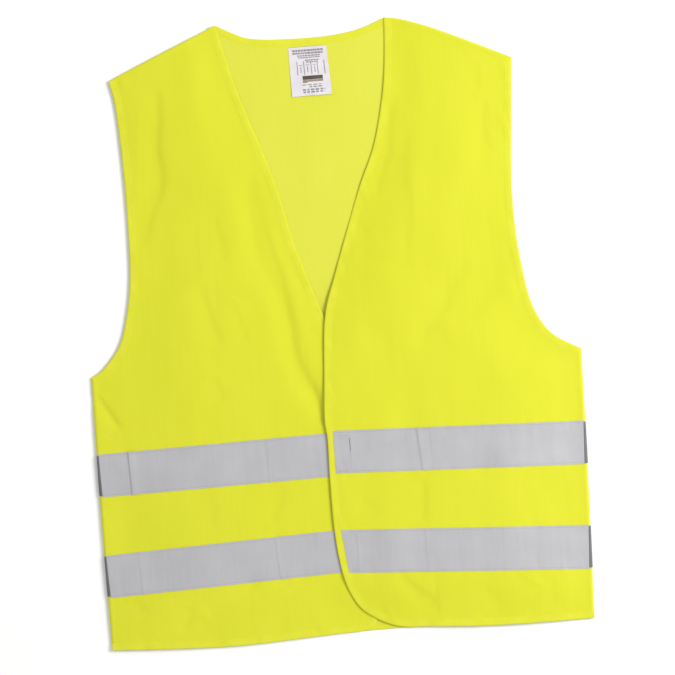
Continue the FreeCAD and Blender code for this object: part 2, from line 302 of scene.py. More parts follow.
def front_height(side, x, y):
    """Height of the middle of a front's fabric."""
    x = np.asarray(x, float)
    y = np.asarray(y, float)
    lines = COARSE[side]
    low_z, high_z = INNER_Z[side]
    inner = low_z + (high_z - low_z) * ease((y - 230) / 220) - 0.9 * ease((90 - y) / 80)
    gaps = {}
    total = np.zeros(x.shape)
    for kind, stretches in lines.items():
        gap = np.min([nearest(line, x, y)[0] for line in stretches], axis=0)
        gaps[kind] = gap
        level = border_height(side, kind, x, y)
        total = total + (np.maximum(inner - level, 0) * (1 - ease(gap / REACH[kind]))) ** 4
    height = inner - total ** 0.25
    free = ease(np.minimum(gaps["sewn"], gaps["armhole"]) / 30)
    height = height + free * (0.9 * BROAD(x, y) + 0.55 * MIDDLE(x, y)) + 0.06 * SMALL(x, y)
    for owner, line, lift, wide in FOLD_LINES:
        if owner != side:
            continue
        near = (np.abs(x - line[:, 0].mean()) < 130) & (np.abs(y - line[:, 1].mean()) < 230)
        if not near.any():
            continue
        gap, where = nearest(line, x[near], y[near])
        if np.ptp(line[:, 1]) > 0.5 * np.ptp(line[:, 0]):
            order = np.argsort(line[:, 1])
            past = x[near] > np.interp(y[near], line[order, 1], line[order, 0])
            gap = gap / np.where(past == (lift < 0), STEEP_FLANK, GENTLE_FLANK)
        fade = np.sqrt(ease(where * 6) * ease((1 - where) * 6) + 1e-9)
        height[near] += lift * np.exp(-(gap / wide) ** 2) * fade
    for kind, size in PUCKER.items():
        along_seam = np.exp(-((gaps[kind] - 7) / 8) ** 2)
        height = height + size * RIPPLE(x + 0.35 * y, y - 0.6 * x) * along_seam
    for level in ("upper", "lower"):
        low, high = band_edges(side, level, x)
        gap = np.minimum(np.abs(y - low), np.abs(y - high))
        inside = (y > low) & (y < high)
        height = height + 0.16 * RIPPLE(x, y * 0.2) * np.exp(-(gap / 7) ** 2)
        height = height + np.where(inside, 0.07 * RIPPLE(1.7 * x + 50, y), 0)
    # the front lies on the back, and on its folded edges at the hem and the neck
    from_neck = np.hypot(x - NECK[side][0], y - NECK[side][1])
    over_trim = np.maximum(np.exp(-(gaps["hem"] / 12) ** 2), np.exp(-(from_neck / 16) ** 2))
    clear = CLEAR_CLOTH + CLEAR_TRIM * over_trim
    back = back_height(x, y)
    gap = height - back
    return back + 0.5 * (gap + clear + np.sqrt((gap - clear) ** 2 + 0.15))


def height_of(side):
    if side == "back":
        return back_height
    return lambda x, y: front_height(side, x, y)


# ---------------------------------------------------------------- mesh helpers

def sharpen(mesh):
    """Keep the cut edges of a sheet and the corners of a section crisp under smooth shading."""
    work = bmesh.new()
    work.from_mesh(mesh)
    for edge in work.edges:
        edge.smooth = len(edge.link_faces) == 2 and edge.calc_face_angle(0) < math.radians(75)
    work.to_mesh(mesh)
    work.free()


def new_mesh(name, points, faces, material, uv=None, smooth=True):
    """Mesh from points in plan millimetres; uv gives each point's place in the cloth."""
    mesh = bpy.data.meshes.new(name)
    mesh.from_pydata(place(points).tolist(), [], [list(map(int, face)) for face in faces])
    layer = mesh.uv_layers.new(name="Cloth")
    corners = np.zeros(len(mesh.loops), dtype=np.int32)
    mesh.loops.foreach_get("vertex_index", corners)
    flat = np.asarray(points, float)[:, :2] if uv is None else np.asarray(uv, float)
    layer.data.foreach_set("uv", (flat[corners] / 1000.0).astype(np.float32).ravel())
    mesh.polygons.foreach_set("use_smooth", [smooth] * len(mesh.polygons))
    mesh.materials.append(material)
    mesh.validate()
    mesh.update()
    sharpen(mesh)
    item = bpy.data.objects.new(name, mesh)
    bpy.context.scene.collection.objects.link(item)
    return item


def thicken(item, thickness):
    solid = item.modifiers.new("thickness", "SOLIDIFY")
    solid.thickness = thickness / 1000.0
    solid.offset = 0.0
    return item


def inside_polygon(loop, x, y):
    hit = np.zeros(x.shape, bool)
    for (x1, y1), (x2, y2) in zip(loop, np.roll(loop, -1, axis=0)):
        if y1 == y2:
            continue
        crosses = (y1 > y) != (y2 > y)
        hit ^= crosses & (x < (x2 - x1) * (y - y1) / (y2 - y1) + x1)
    return hit


def cloth(name, loop, height, spacing, material):
    """Triangulated sheet filling a closed outline, lifted to the height function."""
    low = loop.min(axis=0)
    high = loop.max(axis=0)
    rows = np.arange(low[1] + spacing / 2, high[1], spacing * 0.866)
    columns = np.arange(low[0] + spacing / 2, high[0], spacing)
    grid_x, grid_y = np.meshgrid(columns, rows)
    grid_x = grid_x + (np.arange(len(rows)) % 2)[:, None] * spacing / 2
    x = grid_x.ravel()
    y = grid_y.ravel()
    keep = inside_polygon(loop, x, y)
    x = x[keep]
    y = y[keep]
    closed = np.vstack([loop, loop[:1]])
    keep = nearest(closed, x, y)[0] > spacing * 0.55
    points = np.vstack([loop, np.column_stack([x[keep], y[keep]])])
    result = delaunay_2d_cdt([Vector(point) for point in points], [],
                             [list(range(len(loop)))], 1, 1e-5)
    flat = np.array([tuple(point) for point in result[0]])
    faces = np.array([face for face in result[2] if len(face) == 3])
    a, b, c = (flat[faces[:, k]] for k in range(3))
    area = (b[:, 0] - a[:, 0]) * (c[:, 1] - a[:, 1]) - (b[:, 1] - a[:, 1]) * (c[:, 0] - a[:, 0])
    faces[area < 0] = faces[area < 0][:, ::-1]
    solid = np.column_stack([flat, height(flat[:, 0], flat[:, 1])])
    item = new_mesh(name, solid, faces, material)
    return thicken(item, FABRIC), float(np.abs(area).sum() / 2) / 1e6


def normals_of(path):
    """Unit normal of a plan path, to its left."""
    run = np.gradient(path, axis=0)
    run /= np.linalg.norm(run, axis=1)[:, None]
    return np.column_stack([-run[:, 1], run[:, 0]])


def swept(name, rings, material, uv=None):
    """Closed tube through rings of points, each ring a closed section, with capped ends."""
    rings = np.asarray(rings, float)
    count, size = rings.shape[:2]
    faces = []
    for i in range(count - 1):
        for j in range(size):
            k = (j + 1) % size
            faces.append((i * size + j, i * size + k, (i + 1) * size + k, (i + 1) * size + j))
    faces.append(tuple(range(size))[::-1])
    faces.append(tuple((count - 1) * size + j for j in range(size)))
    item = new_mesh(name, rings.reshape(-1, 3), faces, material, uv)
    mend_normals(item)
    return item


def mend_normals(item):
    work = bmesh.new()
    work.from_mesh(item.data)
    bmesh.ops.recalc_face_normals(work, faces=work.faces)
    work.to_mesh(item.data)
    work.free()
    sharpen(item.data)


BIND_OUT = [(8.2, 0.3), (7.2, 0.37), (5.0, 0.43), (2.4, 0.46), (0.8, 0.43), (-0.1, 0.26),
            (-0.3, 0.0)]
BIND_IN = [(0.1, 0.0), (0.2, 0.24), (4.0, 0.24), (8.0, 0.2)]


def binding(name, path, side, inward):
    """Folded edge tape: a U section round the edge of a panel, puckered by its stitching."""
    height = height_of(side)
    normal = normals_of(path) * inward
    lower_out = [(d, -h) for d, h in reversed(BIND_OUT[:-1])]
    lower_in = [(d, -h) for d, h in reversed(BIND_IN[1:])]
    section = BIND_OUT + lower_out + lower_in + BIND_IN
    run = np.concatenate([[0], np.cumsum(np.linalg.norm(np.diff(path, axis=0), axis=1))])
    pucker = Noise(5.5, 50, 31)(run, run * 0) + 0.5 * Noise(11, 50, 33)(run, run * 0)
    rings = np.zeros((len(path), len(section), 3))
    uv = np.zeros((len(path), len(section), 2))
    for index, (depth, lift) in enumerate(section):
        wide = depth * (1 + 0.02 * pucker)
        point = path + normal * wide[:, None]
        bulge = 1 + 0.14 * pucker * (abs(lift) > 0.4)
        rings[:, index, :2] = point
        rings[:, index, 2] = height(point[:, 0], point[:, 1]) + lift * bulge
        uv[:, index, 0] = run
        uv[:, index, 1] = depth
    return swept(name, rings, EDGE, uv.reshape(-1, 2))


def fold_strip(name, path, side, inward, profile, thickness, material, wide):
    """Cloth turned round a sewn edge, from under the back up to the front. The profile gives
    (distance past the turn, height above the middle of the cloth) of its outer face; wide is
    the breadth of the turn."""
    normal = normals_of(path) * inward
    inner = path + normal * wide[:, None]
    front = height_of(side)
    top = front(inner[:, 0], inner[:, 1])
    low = back_height(inner[:, 0], inner[:, 1])
    run = np.concatenate([[0], np.cumsum(np.linalg.norm(np.diff(path, axis=0), axis=1))])
    angles = np.radians(np.linspace(-84, 84, 13))
    grow_turn = profile[-1][1]
    rings = []
    for shell in (0.0, thickness):
        part = []
        for depth, grow in profile:
            point = path + normal * (wide + depth)[:, None]
            level = back_height(point[:, 0], point[:, 1]) - grow + shell
            part.append(np.column_stack([point, level]))
        for angle in angles:
            grow = grow_turn - shell
            cosine, sine = math.cos(angle), math.sin(angle)
            point = path + normal * (wide - (wide + grow) * cosine)[:, None]
            level = (top + low) / 2 + ((top - low) / 2 + grow) * sine
            part.append(np.column_stack([point, level]))
        for depth, grow in reversed(profile):
            point = path + normal * (wide + depth)[:, None]
            level = front(point[:, 0], point[:, 1]) + grow - shell
            part.append(np.column_stack([point, level]))
        rings += part[::-1] if shell else part
    stack = np.stack(rings, axis=1)
    spans = np.linalg.norm(np.diff(stack, axis=1), axis=2).mean(axis=0)
    across = np.concatenate([[0], np.cumsum(spans)])
    uv = np.stack([np.column_stack([np.full(len(run), step), run]) for step in across], axis=1)
    return swept(name, stack, material, uv.reshape(-1, 2))


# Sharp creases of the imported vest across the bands: x at the lower and upper edge, height.
CREASES = {
    ("right", "upper"): [(-239.5, -241.0, 0.95), (-81.0, -82.0, 0.2), (-160.0, -161.0, 0.08)],
    ("right", "lower"): [(-236.0, -238.0, 0.2), (-77.0, -80.0, 0.25)],
    ("left", "upper"): [(95.0, 91.0, 0.42), (108.0, 106.0, 0.14), (200.0, 199.0, 0.08)],
    ("left", "lower"): [(93.0, 92.0, 0.12), (180.0, 181.0, 0.08)],
}


def crease_height(side, level, x, share):
    """Rise of a band over its creases; share runs from 0 at its lower edge to 1 at its upper."""
    total = np.zeros(np.shape(x))
    for low_x, high_x, tall in CREASES.get((side, level), []):
        gap = x - (low_x + (high_x - low_x) * share)
        total = total + tall * np.exp(-(gap / np.where(gap > 0, 7.0, 1.2)) ** 2)
    return total


def band(name, side, level, start, stop, material, lift):
    """Reflective band between two x limits, given at its lower and upper edges."""
    rows = 17
    creases = CREASES.get((side, level), [])
    forward = stop[0] > start[0]
    first, last = (max(start), min(stop)) if forward else (max(stop), min(start))
    columns = list(np.arange(first, last, TRIM_STEP)) + [last]
    for low_x, high_x, _ in creases:
        columns += list(np.arange(min(low_x, high_x) - 3.4, max(low_x, high_x) + 3.4, 0.45))
    columns = np.unique(np.round(columns, 2))
    t = (columns - first) / (last - first)
    if not forward:
        t = 1 - t[::-1]
    points = []
    for v in np.linspace(0, 1, rows):
        begin = start[0] + (start[1] - start[0]) * v
        end = stop[0] + (stop[1] - stop[0]) * v
        x = begin + (end - begin) * t
        low, high = band_edges(side, level, x)
        y = low + (high - low) * v
        z = height_of(side)(x, y) + lift + crease_height(side, level, x, v)
        points.append(np.column_stack([x, y, z]))
    points = np.stack(points)
    faces = []
    width = len(t)
    for i in range(rows - 1):
        for j in range(width - 1):
            a = i * width + j
            quad = (a, a + 1, a + width + 1, a + width)
            faces.append(quad if forward else quad[::-1])
    item = new_mesh(name, points.reshape(-1, 3), faces, material)
    return thicken(item, TAPE)


def side_x(side, y):
    line = curve(SIDE[side], 3.0)
    return np.interp(y, line[:, 1], line[:, 0])


# Section rings of a stitch: place along it, share of the radius, and rise.
THREAD_RINGS = ((0.0, 0.35, -0.1), (0.18, 1.0, 0.0), (0.82, 1.0, 0.0), (1.0, 0.35, -0.1))


def thread_mesh(name, stitches, material, radius=0.16):
    """Short rounded lengths of thread; each is (start, end) in plan millimetres."""
    ends = np.asarray(stitches, float)
    run = ends[:, 1] - ends[:, 0]
    run /= np.linalg.norm(run, axis=1)[:, None]
    across = np.cross(run, (0, 0, 1.0))
    across /= np.linalg.norm(across, axis=1)[:, None]
    upward = np.cross(across, run)
    sides = 6
    rings = []
    for t, size, hump in THREAD_RINGS:
        centre = ends[:, 0] + (ends[:, 1] - ends[:, 0]) * t + upward * hump
        for k in range(sides):
            angle = 2 * math.pi * k / sides
            spoke = across * math.cos(angle) + upward * math.sin(angle)
            rings.append(centre + radius * size * spoke)
    points = np.stack(rings, axis=1)
    block = 4 * sides
    faces = []
    for index in range(len(ends)):
        base = index * block
        for ring in range(3):
            for k in range(sides):
                a = base + ring * sides + k
                b = base + ring * sides + (k + 1) % sides
                faces.append((a, b, b + sides, a + sides))
        faces.append(tuple(base + k for k in range(sides))[::-1])
        faces.append(tuple(base + 3 * sides + k for k in range(sides)))
    item = new_mesh(name, points.reshape(-1, 3), faces, material)
    mend_normals(item)
    return item


def stitches_along(path, side, lift, pitch=STITCH, length=2.5):
    """Stitches laid on a panel along a plan path."""
    steps = np.linalg.norm(np.diff(path, axis=0), axis=1)
    run = np.concatenate([[0], np.cumsum(steps)])
    starts = np.arange(0.4, run[-1] - length, pitch)
    pairs = []
    for offset in (0.0, length):
        at = starts + offset
        x = np.interp(at, run, path[:, 0])
        y = np.interp(at, run, path[:, 1])
        pairs.append(np.column_stack([x, y, height_of(side)(x, y) + lift]))
    return list(np.stack(pairs, axis=1))


# ---------------------------------------------------------------- materials

def nodes_of(name, base, roughness, sheen=0.0, metallic=0.0):
    made = bpy.data.materials.new(name)
    made.use_nodes = True
    tree = made.node_tree
    shader = tree.nodes["Principled BSDF"]
    shader.inputs["Base Color"].default_value = (*base, 1)
    shader.inputs["Roughness"].default_value = roughness
    shader.inputs["Metallic"].default_value = metallic
    shader.inputs["Sheen Weight"].default_value = sheen
    shader.inputs["Specular IOR Level"].default_value = 0.45
    return made, tree, shader


def math_node(tree, operation, first, second=None):
    node = tree.nodes.new("ShaderNodeMath")
    node.operation = operation
    for index, value in enumerate((first, second)):
        if value is None:
            continue
        if isinstance(value, (int, float)):
            node.inputs[index].default_value = value
        else:
            tree.links.new(value, node.inputs[index])
    return node.outputs[0]


def cloth_axes(tree):
    where = tree.nodes.new("ShaderNodeUVMap")
    where.uv_map = "Cloth"
    split = tree.nodes.new("ShaderNodeSeparateXYZ")
    tree.links.new(where.outputs["UV"], split.inputs[0])
    return where.outputs["UV"], split.outputs["X"], split.outputs["Y"]


def stretched_noise(tree, uv, scale_x, scale_y, detail=2.0):
    mapping = tree.nodes.new("ShaderNodeMapping")
    mapping.inputs["Scale"].default_value = (scale_x, scale_y, 1)
    tree.links.new(uv, mapping.inputs["Vector"])
    noise = tree.nodes.new("ShaderNodeTexNoise")
    noise.inputs["Scale"].default_value = 1.0
    noise.inputs["Detail"].default_value = detail
    tree.links.new(mapping.outputs[0], noise.inputs["Vector"])
    return noise.outputs["Fac"]


def mixed_colour(tree, shader, factor, first, second):
    ramp = tree.nodes.new("ShaderNodeValToRGB")
    ramp.color_ramp.elements[0].position = 0.3
    ramp.color_ramp.elements[1].position = 0.7
    ramp.color_ramp.elements[0].color = (*first, 1)
    ramp.color_ramp.elements[1].color = (*second, 1)
    tree.links.new(factor, ramp.inputs[0])
    tree.links.new(ramp.outputs[0], shader.inputs["Base Color"])
    return ramp


def bump(tree, shader, height, distance, strength):
    node = tree.nodes.new("ShaderNodeBump")
    node.inputs["Distance"].default_value = distance
    node.inputs["Strength"].default_value = strength
    tree.links.new(height, node.inputs["Height"])
    tree.links.new(node.outputs[0], shader.inputs["Normal"])


def knit(name, dark, light, pitch=0.00125, depth=0.00022):
    """Warp knit: columns of small loops, with faint streaks along the columns."""
    made, tree, shader = nodes_of(name, light, 0.82, sheen=0.25)
    shader.inputs["Sheen Roughness"].default_value = 0.5
    shader.inputs["Sheen Tint"].default_value = (0.9, 0.95, 0.3, 1)
    uv, x, y = cloth_axes(tree)
    turn = math_node(tree, "MULTIPLY", x, 2 * math.pi / pitch)
    wale = math_node(tree, "ABSOLUTE", math_node(tree, "SINE", turn))
    lean = math_node(tree, "MULTIPLY", wale, 1.6)
    rise = math_node(tree, "MULTIPLY", y, 2 * math.pi / (pitch * 0.8))
    course = math_node(tree, "SINE", math_node(tree, "ADD", rise, lean))
    loops = math_node(tree, "ADD", wale, math_node(tree, "MULTIPLY", course, 0.45))
    fuzz = stretched_noise(tree, uv, 2600, 2600, 1.0)
    surface = math_node(tree, "ADD", loops, math_node(tree, "MULTIPLY", fuzz, 0.5))
    bump(tree, shader, surface, depth, 0.5)
    streak = stretched_noise(tree, uv, 260, 14, 3.0)
    cloud = stretched_noise(tree, uv, 12, 9, 2.0)
    shade = math_node(tree, "ADD", math_node(tree, "MULTIPLY", streak, 0.45),
                      math_node(tree, "MULTIPLY", cloud, 0.55))
    mixed_colour(tree, shader, shade, dark, light)
    return made


def reflective(name, dark, light, roughness=0.5):
    """Retroreflective fabric: close grey bead coating on a fine weave, lightly crazed."""
    made, tree, shader = nodes_of(name, light, roughness, metallic=0.1)
    uv, x, y = cloth_axes(tree)
    turns = 2 * math.pi / 0.0007
    warp = math_node(tree, "SINE", math_node(tree, "MULTIPLY", x, turns))
    weft = math_node(tree, "SINE", math_node(tree, "MULTIPLY", y, turns))
    weave = math_node(tree, "MULTIPLY", warp, weft)
    beads = stretched_noise(tree, uv, 5200, 5200, 1.0)
    crazing = stretched_noise(tree, uv, 420, 30, 4.0)
    surface = math_node(tree, "ADD", math_node(tree, "MULTIPLY", weave, 0.5),
                        math_node(tree, "MULTIPLY", beads, 0.8))
    surface = math_node(tree, "ADD", surface, math_node(tree, "MULTIPLY", crazing, 0.8))
    bump(tree, shader, surface, 0.00012, 0.45)
    cloud = stretched_noise(tree, uv, 18, 30, 3.0)
    shade = math_node(tree, "ADD", math_node(tree, "MULTIPLY", crazing, 0.35),
                      math_node(tree, "MULTIPLY", cloud, 0.65))
    mixed_colour(tree, shader, shade, dark, light)
    return made


def woven(name, dark, light, pitch, roughness, depth, sheen=0.1, diagonal=0.0):
    """Plain or twill weave for edge tape, label, thread and hook-and-loop backing."""
    made, tree, shader = nodes_of(name, light, roughness, sheen=sheen)
    uv, x, y = cloth_axes(tree)
    slope = math_node(tree, "ADD", x, math_node(tree, "MULTIPLY", y, diagonal))
    warp = math_node(tree, "SINE", math_node(tree, "MULTIPLY", slope, 2 * math.pi / pitch))
    weft = math_node(tree, "SINE", math_node(tree, "MULTIPLY", y, 2 * math.pi / (pitch * 1.3)))
    noise = stretched_noise(tree, uv, 900, 900, 2.0)
    surface = math_node(tree, "ADD", math_node(tree, "ADD", warp, weft), noise)
    bump(tree, shader, surface, depth, 0.4)
    cloud = stretched_noise(tree, uv, 70, 70, 3.0)
    mixed_colour(tree, shader, cloud, dark, light)
    return made


FABRIC_FRONT = knit("vest_knit", (0.63, 0.645, 0.012), (0.665, 0.67, 0.02))
FABRIC_BACK = knit("vest_knit_inside", (0.65, 0.66, 0.04), (0.68, 0.685, 0.055))
EDGE = woven("edge_tape", (0.63, 0.64, 0.014), (0.67, 0.675, 0.026), 0.0009, 0.8, 0.0001,
             diagonal=1.0)
BAND = reflective("reflective_band", (0.395, 0.39, 0.405), (0.445, 0.44, 0.455))
# The bands' turned ends at the sides are the same grey tape. This copy is painted near black, as
# painted shade for where the tape turns down out of the light.
BAND_TURN_PAINTED_SHADE = reflective("reflective_band_turn_painted_shade", (0.10, 0.10, 0.105), (0.16, 0.16, 0.165))
THREAD = woven("thread", (0.60, 0.61, 0.02), (0.66, 0.66, 0.05), 0.0005, 0.6, 0.00005)
BAND_THREAD = woven("band_thread", (0.28, 0.27, 0.36), (0.38, 0.37, 0.46), 0.0005, 0.6, 0.00005)
DARK_THREAD = woven("patch_thread", (0.10, 0.10, 0.11), (0.16, 0.16, 0.17), 0.0005, 0.6, 0.00005)
LABEL = woven("label_satin", (0.62, 0.59, 0.63), (0.70, 0.67, 0.70), 0.0004, 0.4, 0.00004)
INK = woven("label_print", (0.05, 0.04, 0.03), (0.09, 0.07, 0.05), 0.0006, 0.7, 0.00002)
PALE_INK = woven("label_print_pale", (0.19, 0.17, 0.18), (0.28, 0.26, 0.27), 0.0006, 0.7, 0.00002)
BROWN_INK = woven("label_print_brown", (0.20, 0.16, 0.12), (0.30, 0.25, 0.20), 0.0006, 0.7,
                  0.00002)
LOOP = woven("loop_tape", (0.55, 0.56, 0.06), (0.66, 0.66, 0.10), 0.0008, 0.9, 0.0002, sheen=0.6)
HOOK = woven("hook_tape", (0.50, 0.52, 0.08), (0.62, 0.63, 0.14), 0.0008, 0.5, 0.0002)


def add(item, body, *nodes, slot=None, bend=None):
    """Attach a piece to the empty of a body, or, when bend names a front, bake its placement into
    its mesh and leave it unattached; then hide the imported parts it stands for.
    """
    if bend:
        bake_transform(item)
    else:
        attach(item, body)
    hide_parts(*nodes)
    return item


# ---------------------------------------------------------------- back

def inset(path, inward, amount):
    return path + normals_of(path) * inward * amount


def edge_tape(name, points, side, inward, body, *nodes, bend=None):
    """Edge tape along an outline, and the row of stitches that holds it."""
    path = curve(points, TRIM_STEP)
    item = binding(name, path, side, inward)
    add(item, body, *nodes, slot="yellow_binding", bend=bend)
    return item, stitches_along(inset(path, inward, EDGE_ROW), side, EDGE_STITCH_Z)


shoulder_in = {side: inset(curve(SHOULDER[side]), SIGN[side], 2.5) for side in SIGN}
side_in = {side: inset(curve(SIDE[side]), SIGN[side], 2.7) for side in SIGN}
back_loop = joined(
    curve(BACK_HEM), side_in["left"][1:], curve(ARMHOLE["left"]), shoulder_in["left"][1:],
    curve(BACK_NECK), shoulder_in["right"][::-1], curve(ARMHOLE["right"])[::-1],
    side_in["right"][::-1][:-1])
back, back_area = cloth("back_cloth", back_loop, back_height, 3.2, FABRIC_BACK)
add(back, "vest_body", "back_panel", slot="yellow_fabric")
back_stitches = []
back_tapes = [("back_neck_edge", BACK_NECK, 1.0, "back_neck_binding"),
              ("back_hem_edge", BACK_HEM, 1.0, "back_hem_binding")]
for side, sign in SIGN.items():
    back_tapes.append((f"{side}_armhole_back_edge", ARMHOLE[side], sign,
                       f"{side}_armhole_back_binding"))
for name, points, inward, node in back_tapes:
    item, row = edge_tape(name, points, "back", inward, "vest_body", node)
    back_stitches += row
for level in ("upper", "lower"):
    item = band(f"back_{level}_band", "back", level, (-273.0, -273.0), (277.0, 278.0), BAND,
                -BAND_LIFT)
    add(item, "vest_body", f"back_{level}_tape", slot="reflective_tape")
    for v in (0.05, 0.95):
        x = np.linspace(-272, 276, 180)
        low, high = band_edges("back", level, x)
        path = np.column_stack([x, low + (high - low) * v])
        back_stitches += stitches_along(path, "back", EDGE_STITCH_Z)
item = thread_mesh("back_stitches", back_stitches, THREAD)
add(item, "vest_body", "back_tape_stitching", slot="thread")

# ---------------------------------------------------------------- fronts

# Distance past the turn and height over the cloth of a seam's and a band's turned ends.
SEAM_PROFILE = [(7.0, 0.16), (4.0, 0.26), (1.6, 0.34), (0.0, 0.4)]
BAND_PROFILE = [(1.0, 0.55), (0.0, 0.85)]
BAND_FROM_EDGE = 7.4      # from the front edge to the end of a band, at the edge tape
ROW_START = 3.4           # from the end of a band to its first stitch


def front_band(side, level):
    """Band of a front, the part that turns round the side, and the band's rows of stitches."""
    sign = SIGN[side]
    edge = curve(FRONT_EDGE[side], TRIM_STEP)
    starts = []
    # where the front edge crosses the lower and the upper edge of the band
    for y in band_edges(side, level, 0.0):
        near = edge[(np.abs(edge[:, 1] - y) < 4) & (np.abs(edge[:, 0]) < 60)]
        starts.append(near[:, 0].mean() + sign * BAND_FROM_EDGE)
    side_low, side_high = band_edges(side, level, SIDE_REACH)
    breadths = (2.4, 1.2)
    stops = [side_x(side, y) - sign * breadth
             for y, breadth in zip((side_low, side_high), breadths)]
    item = band(f"{side}_{level}_band", side, level, starts, stops, BAND, BAND_LIFT)
    add(item, None, f"{side}_front_{level}_tape", f"{side}_flap_{level}_tape",
        slot="reflective_tape", bend=side)
    stitches = []
    for v in (0.045, 0.955):
        x = np.linspace(starts[0] + sign * ROW_START, stops[0], 150)
        low, high = band_edges(side, level, x)
        path = np.column_stack([x, low + (high - low) * v])
        row = stitches_along(path, side, BAND_STITCH_Z)
        for stitch in row:
            stitch[:, 2] += crease_height(side, level, stitch[:, 0], v)
        stitches += row
    path = curve(SIDE[side], 2.0)
    path = path[(path[:, 1] > side_low) & (path[:, 1] < side_high)]
    # the turned end is drawn in the band material's dark copy, which is painted shade and not a
    # darker tape
    turn = fold_strip(f"{side}_{level}_band_turn", path, side, sign, BAND_PROFILE, TAPE,
                      BAND_TURN_PAINTED_SHADE, np.linspace(*breadths, len(path)))
    add(turn, "vest_body", slot="reflective_tape")
    return [item, turn], stitches


def turned_seam(name, points, side, breadth, node):
    """Cloth of the vest turned round a side or a shoulder."""
    path = curve(points)
    item = fold_strip(name, path, side, SIGN[side], SEAM_PROFILE, TURN_CLOTH, FABRIC_FRONT,
                      np.full(len(path), breadth))
    return add(item, "vest_body", node, slot="yellow_fabric")


def front_pieces(side):
    """Cloth, trim and area of one front."""
    sign = SIGN[side]
    loop = joined(curve(FRONT_EDGE[side]), side_in[side][1:], curve(ARMHOLE[side]),
                  shoulder_in[side][1:-1])
    if sign < 0:
        loop = loop[::-1]
    sheet, area = cloth(f"{side}_front_cloth", loop, height_of(side), 2.7, FABRIC_FRONT)
    add(sheet, None, f"{side}_front_panel", f"{side}_flap_panel", slot="yellow_fabric", bend=side)
    edge, yellow = edge_tape(f"{side}_front_edge", FRONT_EDGE[side], side, sign, None,
                             f"{side}_neck_binding", f"{side}_front_edge_binding",
                             f"{side}_front_hem_binding", bend=side)
    armhole, row = edge_tape(f"{side}_armhole_front_edge", ARMHOLE[side], side, sign,
                             "vest_body", f"{side}_armhole_front_binding")
    trim = [edge, armhole]
    yellow += row
    grey = []
    for level in ("upper", "lower"):
        items, row = front_band(side, level)
        trim += items
        grey += row
    item = thread_mesh(f"{side}_edge_stitches", yellow, THREAD)
    trim.append(add(item, None, f"{side}_flap_stitching", slot="thread", bend=side))
    item = thread_mesh(f"{side}_band_stitches", grey, BAND_THREAD)
    trim.append(add(item, None, f"{side}_front_tape_stitching", slot="thread", bend=side))
    trim.append(turned_seam(f"{side}_side_fold", SIDE[side], side, SIDE_TURN,
                            f"{side}_side_seam"))
    trim.append(turned_seam(f"{side}_shoulder_fold", SHOULDER[side], side, SHOULDER_TURN,
                            f"{side}_shoulder_seam"))
    return sheet, trim, area


fronts = {side: front_pieces(side) for side in SIGN}

# ---------------------------------------------------------------- closure and label

PAD_START = {"upper": -8.0, "lower": -5.0}
PAD_END = 12.0
PAD_ON_BAND = FABRIC / 2 + TAPE
NUB_PITCH = 1.25


def pad(name, side, level, top, bottom, material, nubs):
    """Hook or loop tape: a flat strip with a field of small nubs, upward or downward."""
    low, high = band_edges(side, level, 2.0)
    first = PAD_START[level]
    x = np.linspace(first, PAD_END, 15)
    y = np.linspace(low + 1, high - 1, 33)
    grid_x, grid_y = np.meshgrid(x, y)
    z = height_of(side)(grid_x.ravel(), grid_y.ravel()).reshape(grid_x.shape)
    rows, columns = grid_x.shape
    points = [np.column_stack([grid_x.ravel(), grid_y.ravel(), (z + lift).ravel()])
              for lift in (bottom, top)]
    count = rows * columns
    faces = []
    for i in range(rows - 1):
        for j in range(columns - 1):
            a = i * columns + j
            quad = (a, a + 1, a + columns + 1, a + columns)
            faces.append(quad[::-1])
            faces.append(tuple(count + k for k in quad))
    rim = list(range(columns)) + [i * columns + columns - 1 for i in range(1, rows)]
    rim += [(rows - 1) * columns + j for j in range(columns - 2, -1, -1)]
    rim += [i * columns for i in range(rows - 2, 0, -1)]
    for a, b in zip(rim, rim[1:] + rim[:1]):
        faces.append((a, b, b + count, a + count))
    item = new_mesh(name, np.vstack(points), faces, material)
    mend_normals(item)
    tips = []
    upward = 1.0 if nubs > 0 else -1.0
    face = top if nubs > 0 else bottom
    for gx in np.arange(first + 1.6, PAD_END - 1.4, NUB_PITCH):
        for gy in np.arange(low + 2.6, high - 2.6, NUB_PITCH):
            dx, dy = RNG.uniform(-0.3, 0.3, 2)
            base_z = float(height_of(side)(np.array([gx]), np.array([gy]))[0]) + face
            root = (gx + dx, gy + dy, base_z - upward * 0.05)
            tip = (root[0] + RNG.uniform(-0.35, 0.35), root[1] + 0.3, base_z + nubs)
            tips.append((root, tip))
    return item, thread_mesh(name + "_nubs", tips, material)


for level in ("upper", "lower"):
    base, fuzz = pad(f"{level}_loops", "right", level, PAD_ON_BAND + 0.4, PAD_ON_BAND + 0.1,
                     LOOP, 0.25)
    for item in (base, fuzz):
        add(item, "right_flap", slot="hook_loop")
    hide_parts(f"{level}_loop_patch")
    base, fuzz = pad(f"{level}_hooks", "left", level, -0.27, -0.62, HOOK, -0.28)
    for item in (base, fuzz):
        add(item, "left_flap", slot="hook_loop")
    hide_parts(f"{level}_hook_patch")

patch_rows = []
for level, corner in (("upper", -2.5), ("lower", 4.6)):
    low, high = band_edges("left", level, 5.0)
    seam = np.array([(corner, low + 3), (12.8, low + 3), (12.8, high - 6), (-2.5, high - 6)])
    for a, b in zip(seam, seam[1:]):
        patch_rows += stitches_along(np.linspace(a, b, 20), "left", PATCH_STITCH_Z)
item = thread_mesh("patch_stitches", patch_rows, BAND_THREAD)
add(item, "left_flap", slot="thread")
bartack = np.linspace((13.4, 209.0), (13.0, 226.0), 12)
mark = stitches_along(bartack, "left", BARTACK_Z, 2.1, 2.0)
add(thread_mesh("patch_bartack", mark, DARK_THREAD, 0.3), "left_flap", slot="thread")

